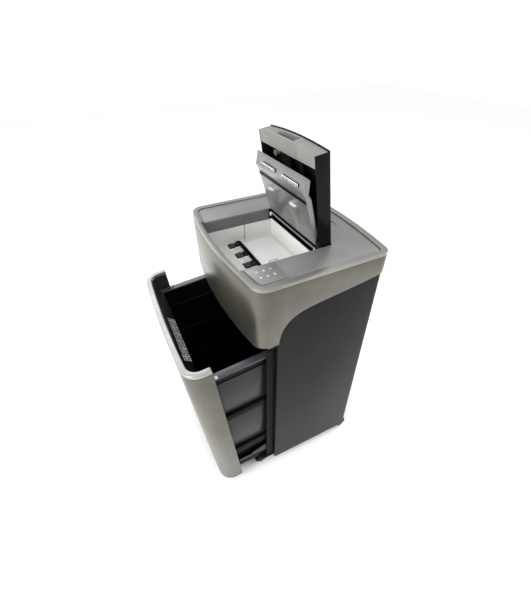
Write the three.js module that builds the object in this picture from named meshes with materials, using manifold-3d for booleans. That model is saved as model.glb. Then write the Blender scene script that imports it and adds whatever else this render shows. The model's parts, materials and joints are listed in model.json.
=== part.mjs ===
// A free-standing office paper shredder with an automatic feed bay under a hinged lid.
// Millimetres, +Z up, the front faces -Y. While it is laid out, y = 0 is the front edge of the
// side panels and z = 0 is the floor; the last lines move the middle of the footprint to y = 0.
// The drawer stands pulled out and leaning forward, and the lid stands open.

import * as THREE from 'three';
import { mergeVertices } from 'three/addons/utils/BufferGeometryUtils.js';
import Module from 'manifold-3d';

const wasm = await Module();
wasm.setup();

// ---------- driving dimensions ----------

const gap = 0.3;                    // between pieces that touch
const wall = 3;                     // moulded cover thickness

const bodyWidth = 540;
const halfBody = bodyWidth / 2;
const headTop = 925;                // deck height above the floor
const headFront = -86;              // foremost point of the head, at its centre
const headFrontBulge = 18;
const headRear = 377;
const headRearBulge = 20;
const frontCorner = 44;
const rearCorner = 30;
const skirtBottom = 717;            // lower edge of the head's front skirt
const rimWidth = 20;
const rimHeight = 10;
const grooveWidth = 2;              // dark joint between the rim and the deck

const baseBottom = 45;              // the floor tray stands on casters this tall
const baseTop = 60;
const halfTray = 255;
const baseFront = -62;
const baseRear = 341;
const panelTop = 903;
const panelThickness = 10;

const bayLeft = -147;               // feed bay opening, wide enough for the long side of a sheet
const bayRight = 160;
const bayRear = 196;
const bayRim = 12;                  // the rim is narrower along the front of the bay
const bayCollarDepth = 45;
const bayFloor = 824;
const slotCentre = 55;              // the cutters' feed slot in the bay's floor
const slotLeft = -140;
const slotRight = 147;
const rollerY = 29;                 // feed rollers show through windows in the bay's floor
const rollerRadius = 15;
const rollerPlaces = [-124, -56, 10, 77];

const lidHingeY = 215;
const lidHingeZ = 910;
const lidOpenAngle = THREE.MathUtils.degToRad(81.5);
const lidThickness = 42;
const lidBarrel = headTop - lidHingeZ;

const plateHingeY = 178;
const plateHingeZ = 934;
const plateLeft = -124;
const plateRight = 152;

const drawerTravel = 147;
const drawerTilt = 0.0826;          // radians that the drawer leans forward when it is out
const tiltPinY = 20;
const tiltPinZ = 105;
const drawerTop = 714;
const drawerBottom = 47;
const drawerFrontBulge = 6;
const drawerCorner = 53;
const binHalf = 230;
const binFront = -58;
const binRear = 296;
const binBottom = 76;
const binTop = 645;

const trayZ = 688;                  // steel tray that carries the cutting head
const drumRadius = 21;
const drumSpacing = 38.4;
const drumZ = 768;
const gearModule = 3.2;
const drumTeeth = 12;
const rollerTeeth = 16;
const reductionTeeth = 20;
const pinionTeeth = 8;

const wheelRadius = 20;
const casterTrail = 13;
const footprintMiddle = 47.058;     // of the stored pose, drawer out
const frontCasterX = 228;
const frontCasterY = -38;
const rearCasterX = 242;
const rearCasterY = 323;

// ---------- colours and finishes ----------

const finishes = {
  silverPaint: { color: 0x8f8d87, roughness: 0.38, metalness: 0.55 },
  brightSilver: { color: 0xc2c2bf, roughness: 0.3, metalness: 0.5 },
  deckGrey: { color: 0x84888a, roughness: 0.42, metalness: 0.45 },
  charcoal: { color: 0x45474a, roughness: 0.5, metalness: 0.15 },
  black: { color: 0x141415, roughness: 0.55, metalness: 0.05 },
  glossBlack: { color: 0x1b1b1d, roughness: 0.25, metalness: 0.05 },
  bayGrey: { color: 0x6b6e6f, roughness: 0.5, metalness: 0.05 },
  paleGrey: { color: 0xd2d3cf, roughness: 0.5, metalness: 0 },
  white: { color: 0xe8e8e6, roughness: 0.45, metalness: 0 },
  speckledGrey: { color: 0xa5a59f, roughness: 0.7, metalness: 0 },
  railGrey: { color: 0x6d6b73, roughness: 0.3, metalness: 0.2 },
  insetGrey: { color: 0x4b4b4d, roughness: 0.35, metalness: 0.05 },
  steel: { color: 0x9a9c9e, roughness: 0.35, metalness: 0.9 },
  rubber: { color: 0x3a3a3a, roughness: 0.85, metalness: 0 },
  boardGreen: { color: 0x1f5a38, roughness: 0.5, metalness: 0 },
};

const machine = new THREE.Group();

function addPart(name, geometry, finish, parent = machine) {
  const part = new THREE.Mesh(geometry, new THREE.MeshStandardMaterial(finishes[finish]));
  part.name = name;
  parent.add(part);
  return part;
}

// ---------- shape helpers ----------

// rows of the map from a side profile (y, z) pulled along x into the machine's axes
const sideways = new THREE.Matrix4().makeBasis(
  new THREE.Vector3(0, 1, 0),
  new THREE.Vector3(0, 0, 1),
  new THREE.Vector3(1, 0, 0),
);

function box([left, right], [front, rear], [bottom, top]) {
  const block = new THREE.BoxGeometry(right - left, rear - front, top - bottom);
  return block.translate((left + right) / 2, (front + rear) / 2, (bottom + top) / 2);
}

function shapeOf(points) {
  return new THREE.Shape(points.map(([x, y]) => new THREE.Vector2(x, y)));
}

function upright(shape, bottom, top) {
  const solid = new THREE.ExtrudeGeometry(shape, { depth: top - bottom, bevelEnabled: false });
  return solid.translate(0, 0, bottom);
}

function across(points, left, right) {
  const settings = { depth: right - left, bevelEnabled: false };
  const solid = new THREE.ExtrudeGeometry(shapeOf(points), settings);
  return solid.applyMatrix4(sideways).translate(left, 0, 0);
}

// a round bar along x
function rodX(radius, left, right, y, z, sides = 16) {
  const rod = new THREE.CylinderGeometry(radius, radius, right - left, sides);
  return rod.rotateZ(-Math.PI / 2).translate((left + right) / 2, y, z);
}

// a turned piece about an axis along x, from [distance along x, radius] pairs
function turnedX(profile, y, z, sides = 18) {
  const points = profile.map(([along, radius]) => new THREE.Vector2(radius, along));
  return new THREE.LatheGeometry(points, sides).rotateZ(-Math.PI / 2).translate(0, y, z);
}

function toSolid(geometry) {
  const bare = geometry.clone();
  bare.deleteAttribute('normal');
  bare.deleteAttribute('uv');
  const merged = mergeVertices(bare, 1e-4);
  const vertProperties = Float32Array.from(merged.attributes.position.array);
  const triVerts = Uint32Array.from(merged.index.array);
  return new wasm.Manifold(new wasm.Mesh({ numProp: 3, vertProperties, triVerts }));
}

function toGeometry(solid) {
  const mesh = solid.getMesh();
  const geometry = new THREE.BufferGeometry();
  geometry.setAttribute('position', new THREE.BufferAttribute(mesh.vertProperties, 3));
  geometry.setIndex(new THREE.BufferAttribute(mesh.triVerts, 1));
  geometry.computeVertexNormals();
  return geometry;
}

function joined(first, ...others) {
  return toGeometry(others.reduce((sum, other) => sum.add(toSolid(other)), toSolid(first)));
}

function cut(first, ...others) {
  return toGeometry(others.reduce((rest, other) => rest.subtract(toSolid(other)), toSolid(first)));
}

// a round stretch of an outline; angles in degrees
function arc(centreX, centreY, radius, from, to, steps) {
  return Array.from({ length: steps + 1 }, (_, step) => {
    const angle = THREE.MathUtils.degToRad(from + ((to - from) * step) / steps);
    return [centreX + radius * Math.cos(angle), centreY + radius * Math.sin(angle)];
  });
}

// a shallow bow between x = from and x = to that stands out by sag in the middle
function bow(from, to, ends, sag, steps) {
  return Array.from({ length: steps - 1 }, (_, step) => {
    const x = from + ((to - from) * (step + 1)) / steps;
    return [x, ends + sag * (1 - (x / to) ** 2)];
  });
}

// plan outline of the head, moved inwards by inset all round
function headPlan(inset) {
  const side = halfBody - inset;
  const front = headFront + headFrontBulge + inset;
  const rear = headRear - headRearBulge - inset;
  const round = Math.max(frontCorner - inset, 4);
  const back = Math.max(rearCorner - inset, 4);
  return [
    ...arc(-side + round, front + round, round, 180, 262, 5),
    ...bow(-side + round, side - round, front, -headFrontBulge, 10),
    ...arc(side - round, front + round, round, 278, 360, 5),
    ...arc(side - back, rear - back, back, 0, 82, 4),
    ...bow(side - back, -side + back, rear, headRearBulge, 8),
    ...arc(-side + back, rear - back, back, 98, 180, 4),
  ];
}

// y of the head's bowed front at x, moved inwards by inset
function bowedFront(x, inset) {
  const reach = halfBody - frontCorner;
  return headFront + inset + headFrontBulge * (x / reach) ** 2;
}

// plan of something that fills the bay: square sides and rear, bowed front
function bayPlan(left, right, inset, rear) {
  const steps = 8;
  const front = Array.from({ length: steps + 1 }, (_, step) => {
    const x = left + ((right - left) * step) / steps;
    return [x, bowedFront(x, inset)];
  });
  return shapeOf([...front, [right, rear], [left, rear]]);
}

function roundedRectangle([left, right], [front, rear], radius, steps = 3) {
  return [
    ...arc(left + radius, front + radius, radius, 180, 270, steps),
    ...arc(right - radius, front + radius, radius, 270, 360, steps),
    ...arc(right - radius, rear - radius, radius, 0, 90, steps),
    ...arc(left + radius, rear - radius, radius, 90, 180, steps),
  ];
}

function ringOf(outer, inner, bottom, top) {
  const shape = shapeOf(outer);
  shape.holes.push(new THREE.Path(inner.map(([x, y]) => new THREE.Vector2(x, y))));
  return upright(shape, bottom, top);
}

// ---------- floor tray, side panels and back ----------

function addCabinet() {
  const tray = roundedRectangle([-halfTray, halfTray], [baseFront, baseRear], 20);
  const pad = box([-150, 150], [60, 220], [baseBottom - 3, baseBottom + 1]);
  addPart('base_plate', joined(upright(shapeOf(tray), baseBottom, baseTop), pad), 'black');

  // each side panel turns the rear corner and laps the back panel
  const outer = halfBody - wall - 1;
  const inner = outer - panelThickness;
  const rearLine = headRear - headRearBulge - wall - 1.2;
  const panel = [
    [inner, 0],
    [outer, 0],
    ...arc(outer - 26, rearLine - 26, 26, 0, 90, 5),
    [outer - 46, rearLine],
    [outer - 46, rearLine - 6],
    ...arc(outer - 26, rearLine - 26, 16, 90, 0, 4),
  ];
  const mirrored = panel.map(([x, y]) => [-x, y]).reverse();
  addPart('side_panel_right', upright(shapeOf(panel), baseBottom, panelTop), 'charcoal');
  addPart('side_panel_left', upright(shapeOf(mirrored), baseBottom, panelTop), 'charcoal');

  // the back panel fills the space between them, with vents, the inlet and the switch opening
  const half = outer - 47;
  const back = box([-half, half], [rearLine - 5, rearLine], [baseTop + gap, panelTop]);
  const vents = [];
  for (let row = 0; row < 8; row += 1) {
    const low = 740 + row * 16;
    vents.push(box([-90, 90], [rearLine - 9, rearLine + 9], [low, low + 6]));
  }
  const inletHole = box([118, 146], [rearLine - 9, rearLine + 9], [100, 120]);
  const switchHole = box([156, 174], [rearLine - 9, rearLine + 9], [98, 122]);
  addPart('back_panel', cut(back, inletHole, switchHole, ...vents), 'charcoal');

  // inlet: a recessed socket with three pins
  const socket = cut(
    box([118.3, 145.7], [rearLine - 26, rearLine], [100.3, 119.7]),
    box([121, 143], [rearLine - 20, rearLine + 1], [103, 117]),
  );
  const pins = [-6, 0, 6].map((offset) => {
    const middle = 132 + offset;
    return box([middle - 1, middle + 1], [rearLine - 21, rearLine - 6], [108, 112]);
  });
  addPart('power_inlet', joined(socket, ...pins), 'glossBlack');

  // rocker of the main switch, proud at its upper end
  const rocker = [
    [rearLine - 8, 99],
    [rearLine - 1, 99],
    [rearLine + 0.5, 110],
    [rearLine + 4, 121],
    [rearLine - 8, 121],
  ];
  addPart('power_switch', across(rocker, 157, 173), 'glossBlack');

  // black sleeve inside each side, standing forward of the panel's edge
  for (const side of [-1, 1]) {
    const sleeve = [[249, -30], [252, -30], [252, 3], [256, 3], [256, 6], [252, 6], [252, 330], [249, 330]];
    const plan = sleeve.map(([x, y]) => [side * x, y]);
    const name = side < 0 ? 'drawer_sleeve_left' : 'drawer_sleeve_right';
    const shape = shapeOf(side < 0 ? plan.reverse() : plan);
    // the slide's fixed rail is riveted to the sleeve's inner face
    const rail = box(side < 0 ? [-249.1, -247] : [247, 249.1], [-24, 320], [100, 150]);
    addPart(name, joined(upright(shape, baseTop + gap, trayZ - 8), rail), 'black');
  }
}

// ---------- head: shell, rim, deck and the frame under them ----------

function addHead() {
  const shell = ringOf(headPlan(0), headPlan(wall), skirtBottom, headTop - rimHeight - gap);
  // the skirt's lower edge sweeps up from the side panel's front edge towards the rear
  const sweep = new THREE.Shape();
  sweep.moveTo(1, skirtBottom - 20);
  sweep.lineTo(1, skirtBottom);
  sweep.bezierCurveTo(6, 775, 30, 812, 105, 822);
  sweep.bezierCurveTo(200, 838, 300, 842, headRear + 20, 872);
  sweep.lineTo(headRear + 20, skirtBottom - 20);
  const cutter = new THREE.ExtrudeGeometry(sweep, { depth: 640, bevelEnabled: false, curveSegments: 8 });
  cutter.applyMatrix4(sideways).translate(-320, 0, 0);
  addPart('head_shell', cut(shell, cutter), 'silverPaint');

  const rimShape = shapeOf(headPlan(3));
  const rimHole = new THREE.Path(headPlan(rimWidth - 3).map(([x, y]) => new THREE.Vector2(x, y)));
  rimShape.holes.push(rimHole);
  const rim = new THREE.ExtrudeGeometry(rimShape, {
    depth: rimHeight - 3,
    bevelThickness: 3,
    bevelSize: 3,
    bevelSegments: 2,
  });
  rim.translate(0, 0, headTop - rimHeight);
  const underRim = box([-300, 300], [-120, 420], [headTop - rimHeight - 10, headTop - rimHeight]);
  const bayNotch = bayPlan(bayLeft - 3.3, bayRight + 3.3, bayRim, 0);
  const notch = upright(bayNotch, headTop - rimHeight - 1, headTop + 1);
  addPart('top_rim', cut(rim, underRim, notch), 'silverPaint');

  // the deck is open in front of the bay, where the rim itself closes it
  const deckSlab = upright(shapeOf(headPlan(rimWidth + grooveWidth)), headTop - 8, headTop - 3);
  const bayCut = box([bayLeft, bayRight], [-120, 232], [headTop - 20, headTop + 5]);
  const panelCut = box([bayRight + 4.7, 244], [-110, 40], [headTop - 5, headTop + 5]);
  const fingerCut = box([-60, 66], [262, 318], [headTop - 6, headTop + 5]);
  addPart('deck', cut(deckSlab, bayCut, panelCut, fingerCut), 'deckGrey');

  const panelPlan = toSolid(upright(shapeOf(headPlan(rimWidth + grooveWidth + 2)), headTop - 4.6, headTop - 2));
  const panelArea = toSolid(box([bayRight + 5, 243], [-110, 39.5], [headTop - 6, headTop]));
  addPart('control_panel', toGeometry(panelPlan.intersect(panelArea)), 'paleGrey');

  const frameSlab = upright(shapeOf(headPlan(wall + gap)), panelTop + gap, headTop - rimHeight - gap);
  const well = upright(bayPlan(bayLeft - 3.3, bayRight + 3.3, bayRim, 233), panelTop - 9, headTop);
  addPart('head_frame', cut(frameSlab, well), 'black');
}

// ---------- feed bay ----------

function addFeedBay() {
  const front = bayRim + 0.6;
  const bottom = headTop - bayCollarDepth;
  const outerPlan = (rear) => bayPlan(bayLeft - wall, bayRight + wall, front, rear);
  const innerPlan = (rear) => bayPlan(bayLeft, bayRight, front + wall, rear);
  const collar = cut(
    upright(outerPlan(182), bottom, headTop - 3.4),
    upright(innerPlan(300), bottom - 1, headTop),
    box([bayLeft - 10, bayLeft + 1], [-100, 300], [headTop - 8.3, headTop]),
    box([bayRight - 1, bayRight + 10], [-100, 300], [headTop - 8.3, headTop]),
  );
  addPart('bay_collar', collar, 'bayGrey');

  // pale tray: floor, four walls, windows for the feed rollers and the slot
  const tray = cut(
    upright(outerPlan(bayRear), bayFloor - 4, bottom - gap),
    upright(innerPlan(bayRear - wall), bayFloor, bottom + 1),
    box([slotLeft - 5, slotRight + 5], [slotCentre - 8, slotCentre + 8], [bayFloor - 9, bayFloor + 1]),
    ...rollerPlaces.map((x) => box([x - 17, x + 17], [12, slotCentre - 8.5], [bayFloor - 9, bayFloor + 1])),
  );
  addPart('paper_tray', tray, 'paleGrey');

  const slotFrame = cut(
    box([slotLeft - 4.7, slotRight + 4.7], [slotCentre - 4, slotCentre + 7.7], [bayFloor - 10, bayFloor + 1.5]),
    box([slotLeft, slotRight], [slotCentre - 1, slotCentre + 5], [bayFloor - 11, bayFloor + 3]),
  );
  addPart('slot_frame', slotFrame, 'glossBlack');

  const pad = roundedRectangle([-122, 150], [slotCentre + 11, 176], 14);
  addPart('bay_pad', upright(shapeOf(pad), bayFloor + gap, bayFloor + 4), 'white');
}

// ---------- cutting head and drive ----------

const frontDrumY = slotCentre + 2 - drumSpacing / 2;
const rearDrumY = slotCentre + 2 + drumSpacing / 2;
const pitchRadius = (teeth) => (gearModule * teeth) / 2;
const reductionY = rearDrumY + pitchRadius(drumTeeth) + pitchRadius(pinionTeeth);
const motorY = reductionY + pitchRadius(reductionTeeth) + pitchRadius(pinionTeeth);
const rollerReach = pitchRadius(drumTeeth) + pitchRadius(rollerTeeth);
const rollerZ = drumZ + Math.sqrt(rollerReach ** 2 - (frontDrumY - rollerY) ** 2);

// a spur gear with straight-flanked teeth; turn is its first tooth's angle in degrees
function gear(teeth, left, right, y, z, bore, turn) {
  const pitch = 360 / teeth;
  const tip = pitchRadius(teeth) + 0.8 * gearModule;
  const root = pitchRadius(teeth) - 1.1 * gearModule;
  const outline = [];
  for (let tooth = 0; tooth < teeth; tooth += 1) {
    const middle = turn + tooth * pitch;
    for (const [radius, share] of [[root, -0.33], [tip, -0.11], [tip, 0.11], [root, 0.33]]) {
      const angle = THREE.MathUtils.degToRad(middle + share * pitch);
      outline.push([y + radius * Math.cos(angle), z + radius * Math.sin(angle)]);
    }
  }
  return cut(across(outline, left, right), rodX(bore, left - 1, right + 1, y, z, 12));
}

// a cutter shaft: discs of one drum run in the gaps of the other
function cutterDrum(firstDisc, y) {
  const discWidth = 9;
  const pitch = 20;
  const profile = [[-176, 0], [-176, 7], [-150, 7], [-150, 12]];
  for (let left = firstDisc; left + discWidth < 142; left += pitch) {
    profile.push([left, 15], [left, drumRadius], [left + discWidth, drumRadius], [left + discWidth, 15]);
  }
  profile.push([142, 12], [142, 7], [174, 7], [174, 0]);
  return turnedX(profile, y, drumZ, 12);
}

function addCuttingHead() {
  const tray = cut(
    box([-248, 248], [-22, 338], [trayZ, trayZ + 4]),
    box([-140, 142], [slotCentre - 38, slotCentre + 42], [trayZ - 1, trayZ + 5]),
  );
  addPart('cutter_tray', tray, 'steel');

  for (const [name, x] of [['cutter_plate_left', -158], ['cutter_plate_right', 153]]) {
    const plate = cut(
      box([x, x + 5], [slotCentre - 50, slotCentre + 54], [trayZ + 4.3, bayFloor - 18]),
      rodX(7.3, x - 1, x + 6, frontDrumY, drumZ),
      rodX(7.3, x - 1, x + 6, rearDrumY, drumZ),
    );
    addPart(name, plate, 'steel');
  }

  addPart('cutter_drum_front', cutterDrum(-138, frontDrumY), 'steel');
  addPart('cutter_drum_rear', cutterDrum(-128, rearDrumY), 'steel');

  // stripper combs keep shreds from wrapping round the shafts
  for (const [name, side] of [['stripper_comb_front', -1], ['stripper_comb_rear', 1]]) {
    const middle = slotCentre + 2;
    const inner = middle + side * 42;
    const outer = middle + side * 48;
    const bar = box([-152.5, 152.5], [Math.min(inner, outer), Math.max(inner, outer)], [trayZ + 6, bayFloor - 20]);
    const teeth = [];
    const firstGap = side < 0 ? -127 : -137;
    for (let left = firstGap; left < 130; left += 40) {
      const tip = middle + side * 37;
      teeth.push(box([left, left + 7], [Math.min(tip, inner), Math.max(tip, inner)], [drumZ - 20, drumZ - 4]));
    }
    addPart(name, joined(bar, ...teeth), 'black');
  }

  // gear train on the right: motor pinion, reduction gear, rear drum, front drum
  const half = (teeth) => 180 / teeth;
  addPart('drum_gear_rear', gear(drumTeeth, 164, 174, rearDrumY, drumZ, 7.3, 0), 'steel');
  addPart('drum_gear_front', gear(drumTeeth, 164, 174, frontDrumY, drumZ, 7.3, half(drumTeeth)), 'steel');
  const reduction = joined(
    gear(pinionTeeth, 164, 175, reductionY, drumZ, 4, half(pinionTeeth)),
    gear(reductionTeeth, 174.5, 184, reductionY, drumZ, 4, 0),
    rodX(4.5, 160, 187, reductionY, drumZ, 12),
  );
  addPart('reduction_gear', reduction, 'white');
  addPart('motor_pinion', gear(pinionTeeth, 174.5, 186, motorY, drumZ, 4.3, half(pinionTeeth)), 'steel');

  const motor = turnedX(
    [[20, 0], [20, 36], [24, 42], [148, 42], [152, 36], [152, 12], [158, 12], [158, 4], [190, 4], [190, 0]],
    motorY,
    drumZ,
    20,
  );
  const feet = box([40, 130], [motorY - 30, motorY + 30], [trayZ + 4.3, drumZ - 30]);
  addPart('motor', joined(motor, feet), 'charcoal');

  // feed roller shaft with rubber rollers, driven by its own gear on the left
  const feedShaft = [[-176, 0], [-176, 4], [-165, 4], [-165, 5]];
  for (const x of rollerPlaces) {
    feedShaft.push([x - 13, 5], [x - 13, rollerRadius], [x + 13, rollerRadius], [x + 13, 5]);
  }
  feedShaft.push([146, 5], [146, 0]);
  addPart('feed_roller', turnedX(feedShaft, rollerY, rollerZ, 16), 'rubber');
  const offsetAngle = THREE.MathUtils.radToDeg(Math.atan2(drumZ - rollerZ, frontDrumY - rollerY));
  const rollerGear = gear(rollerTeeth, -174, -166, rollerY, rollerZ, 4.3, offsetAngle);
  addPart('feed_roller_gear', rollerGear, 'white');
  const drumSide = offsetAngle + 180 + half(drumTeeth);
  addPart('drum_gear_left', gear(drumTeeth, -174, -166, frontDrumY, drumZ, 7.3, drumSide), 'steel');

  // control electronics stand behind the cutting head on the left
  const board = joined(
    box([-236, -234], [120, 300], [trayZ + 10, 880]),
    box([-234.2, -214], [140, 170], [720, 760]),
    box([-234.2, -206], [190, 240], [720, 770]),
    box([-234.2, -224], [150, 260], [800, 830]),
  );
  addPart('circuit_board', board, 'boardGreen');
}

// ---------- lid, laid out closed about its hinge and then swung open ----------

function addLid() {
  const lid = new THREE.Group();
  lid.position.set(0, lidHingeY, lidHingeZ);
  lid.rotation.x = -lidOpenAngle;
  machine.add(lid);

  const left = bayLeft + 2;
  const right = bayRight - 2;
  const top = lidBarrel;
  const bottom = top - lidThickness;
  const lidPlan = (inset, rear, side = inset) => {
    const steps = 8;
    const points = Array.from({ length: steps + 1 }, (_, step) => {
      const x = left + side + ((right - left - 2 * side) * step) / steps;
      return [x, bowedFront(x, bayRim + 1.5 + inset) - lidHingeY];
    });
    return shapeOf([...points, [right - side, rear], [left + side, rear]]);
  };

  // outer skin and side walls; the front end is closed by the blocks
  const body = toSolid(upright(lidPlan(0, 0), top - 3, top))
    .add(toSolid(upright(lidPlan(3, -19, 0), bottom, top - 1)))
    .add(toSolid(rodX(lidBarrel, left, right, 0, 0, 24)));
  const hollow = toSolid(upright(lidPlan(-20, -26, 4), bottom - 1, top - 3));
  const bore = toSolid(rodX(4.3, left - 1, right + 1, 0, 0, 12));
  addPart('lid_shell', toGeometry(body.subtract(hollow).subtract(bore)), 'glossBlack', lid);

  const blockRear = -245;
  const blockPlan = toSolid(upright(lidPlan(3, blockRear, 4.3), bottom, top - 3.3));
  const seam = 63;
  const leftSide = toSolid(box([left, seam - 0.5], [-320, 0], [bottom - 1, top]));
  const rightSide = toSolid(box([seam + 0.5, right], [-320, 0], [bottom - 1, top]));
  const gripHole = toSolid(box([-62, 46], [-320, -262], [bottom + 4, top - 8]));
  const leftBlock = blockPlan.intersect(leftSide).subtract(gripHole);
  addPart('lid_block_left', toGeometry(leftBlock), 'speckledGrey', lid);
  addPart('lid_block_right', toGeometry(blockPlan.intersect(rightSide)), 'speckledGrey', lid);
  const gripBlock = toSolid(upright(lidPlan(3.2, -262.3), bottom + 4.3, top - 8.3));
  const gripSpan = toSolid(box([-61.7, 45.7], [-320, 0], [bottom, top]));
  const gripHollow = toSolid(box([-58, 42], [-320, -266], [bottom + 8, top - 11]));
  const grip = gripBlock.intersect(gripSpan).subtract(gripHollow);
  addPart('lid_grip', toGeometry(grip), 'brightSilver', lid);

  // ribbed liner in the hollow, with the round bumper that the closed lid rests on
  const linerFront = blockRear + gap;
  const linerTop = top - 3.3;
  const liner = joined(
    box([left + 4.3, right - 4.3], [linerFront, -26.3], [linerTop - 3, linerTop]),
    ...[-116, -20, 50, 110].map((x) => box([x, x + 3], [linerFront, -60], [linerTop - 12, linerTop - 2])),
  );
  addPart('lid_liner', liner, 'black', lid);
  const bumper = new THREE.CylinderGeometry(9, 9, 14, 16).rotateX(Math.PI / 2);
  bumper.translate(-98, -214, linerTop - 3.3 - 7);
  addPart('lid_bumper', bumper, 'rubber', lid);

  // the pin runs through the barrel into two ears of the chassis
  addPart('lid_hinge_pin', rodX(4, left - 5, right + 5, lidHingeY, lidHingeZ, 12), 'steel');
}

function addPressurePlate() {
  const profile = [
    [175, 936],
    [134, 1073],
    [125, 1090],
    [132, 1130],
    [143, 1121],
    [141.5, 1119],
    [133.2, 1126],
    [127.6, 1091],
    [136.4, 1074.5],
    [177.4, 937],
  ];
  const flange = [
    [175, 937],
    [134, 1073],
    [125, 1090],
    [132, 1130],
    [143, 1121],
    [141, 1085],
    [150, 1073],
    [181, 965],
    [178, 937],
  ];
  const plate = joined(
    across(profile, plateLeft, plateRight),
    across(flange, plateLeft, plateLeft + 2),
    across(flange, plateRight - 2, plateRight),
    rodX(3, plateLeft, plateRight, plateHingeY - 1, plateHingeZ + 2, 10),
  );
  addPart('pressure_plate', plate, 'brightSilver');

  // serrated grips on the folded lip
  const strips = [['plate_teeth_left', -87, -1], ['plate_teeth_right', 39, 125]];
  for (const [name, left, right] of strips) {
    const base = [[125.2, 1098], [127.0, 1108], [124.6, 1108], [122.8, 1098]];
    const teeth = [];
    for (let x = left + 2; x < right - 4; x += 11) {
      teeth.push(across([[123.5, 1099], [125.0, 1107.4], [121.6, 1106]], x, x + 5));
    }
    addPart(name, joined(across(base, left, right), ...teeth), 'white');
  }
}

// ---------- drawer: slides, tilting front and bin ----------

function addSlides() {
  for (const side of [-1, 1]) {
    const hand = side < 0 ? 'left' : 'right';
    const span = (near, far) => (side < 0 ? [-far, -near] : [near, far]);
    const bar = (outline, near, far) => across(outline, ...span(near, far));

    const tip = -16.5 - drawerTravel / 2;
    const middle = [[tip, 105], [tip + 320, 105], [tip + 320, 146], [tip + 70, 146], [tip, 126]];
    addPart(`middle_rail_${hand}`, bar(middle, 244.5, 246.7), 'steel');

    const front = 5 - drawerTravel;
    const inner = [[front, 98], [front + 275, 98], [front + 275, 112], [front, 112]];
    addPart(`inner_rail_${hand}`, bar(inner, 242, 244.2), 'steel');
  }
}

function drawerPlan(thickness, endThickness) {
  const side = halfBody - 3;
  const front = headFront + drawerFrontBulge;
  const end = -1.5;
  const outer = [
    [-side, end],
    ...arc(-side + drawerCorner, front + drawerCorner, drawerCorner, 180, 268, 7),
    ...bow(-side + drawerCorner, side - drawerCorner, front, -drawerFrontBulge, 6),
    ...arc(side - drawerCorner, front + drawerCorner, drawerCorner, 272, 360, 7),
    [side, end],
  ];
  const inside = side - endThickness;
  const depth = front + thickness;
  const corner = drawerCorner - Math.max(thickness, endThickness);
  const inner = [
    [inside, end],
    ...arc(inside - corner, depth + corner, corner, 360, 272, 6),
    ...bow(inside - corner, -inside + corner, depth, -drawerFrontBulge, 6),
    ...arc(-inside + corner, depth + corner, corner, 268, 180, 6),
    [-inside, end],
  ];
  return shapeOf([...outer, ...inner]);
}

function addDrawer() {
  // laid out closed and upright about the tilt pins
  const drawer = new THREE.Group();
  drawer.position.set(0, tiltPinY - drawerTravel, tiltPinZ);
  drawer.rotation.x = drawerTilt;
  machine.add(drawer);
  const place = (geometry) => geometry.translate(0, -tiltPinY, -tiltPinZ);

  const front = joined(
    upright(drawerPlan(4, 4), drawerBottom, drawerTop - 8),
    upright(drawerPlan(18, 10), drawerTop - 14, drawerTop),
  );
  addPart('drawer_front', place(front), 'silverPaint', drawer);

  const linerRear = binFront - 2.3;
  const liner = box([-212, 212], [linerRear - 5, linerRear], [drawerBottom + 18, drawerTop - 15]);
  addPart('drawer_liner', place(liner), 'black', drawer);

  const tub = toSolid(box([-binHalf, binHalf], [binFront, binRear], [binBottom, binTop - 6]))
    .add(toSolid(box([-240, 240], [binFront + 6, binRear - 6], [binTop - 24, binTop - 6])))
    .add(toSolid(box([-240, 240], [binFront + 6, binRear - 6], [398, 426])))
    .add(toSolid(box([-240, 240], [binFront + 6, binRear - 6], [160, 196])))
    .subtract(toSolid(box([-226, 226], [binFront + 4, binRear - 4], [binBottom + 4, binTop + 9])));
  addPart('bin_tub', place(toGeometry(tub)), 'black', drawer);

  const rimPlan = roundedRectangle([-247, 247], [binFront + 2, binRear], 8);
  const rimHole = roundedRectangle([-223, 223], [binFront + 8, binRear - 8], 6);
  addPart('bin_rim', place(ringOf(rimPlan, rimHole, binTop - 5.7, binTop)), 'railGrey', drawer);
}

// ---------- casters ----------

function addCaster(name, x, y, trail) {
  const cheeks = across([[-12, 14], [12, 14], [22, 26], [22, 41], [-22, 41], [-22, 26]], -13, 13);
  const hood = cut(
    cheeks,
    rodX(wheelRadius + 1.5, -9.5, 9.5, 0, wheelRadius, 16),
  );
  const fork = joined(
    hood,
    rodX(3, -12, 12, 0, wheelRadius, 10),
    new THREE.CylinderGeometry(7, 7, 4, 12).rotateX(Math.PI / 2).translate(0, -trail, baseBottom - gap - 2),
  );
  addPart(`${name}_fork`, fork.translate(x, y + trail, 0), 'black');

  const wheel = turnedX(
    [[-8, 3.5], [-8, 17], [-6, wheelRadius], [6, wheelRadius], [8, 17], [8, 3.5], [-8, 3.5]],
    y + trail,
    wheelRadius,
    16,
  );
  addPart(`${name}_wheel`, wheel.translate(x, 0, 0), 'rubber');
}

addCabinet();
addHead();
addFeedBay();
addCuttingHead();
addLid();
addPressurePlate();
addSlides();
addDrawer();
addCaster('caster_front_left', -frontCasterX, frontCasterY, -casterTrail);
addCaster('caster_front_right', frontCasterX, frontCasterY, -casterTrail);
addCaster('caster_rear_left', -rearCasterX, rearCasterY, casterTrail);
addCaster('caster_rear_right', rearCasterX, rearCasterY, casterTrail);

// the footprint, with the drawer out, is centred on the origin
machine.position.y = -footprintMiddle;
const shredder = new THREE.Group();
shredder.add(machine);

export default shredder;
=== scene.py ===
import json
import math
import bpy
from mathutils import Matrix, Vector

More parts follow.
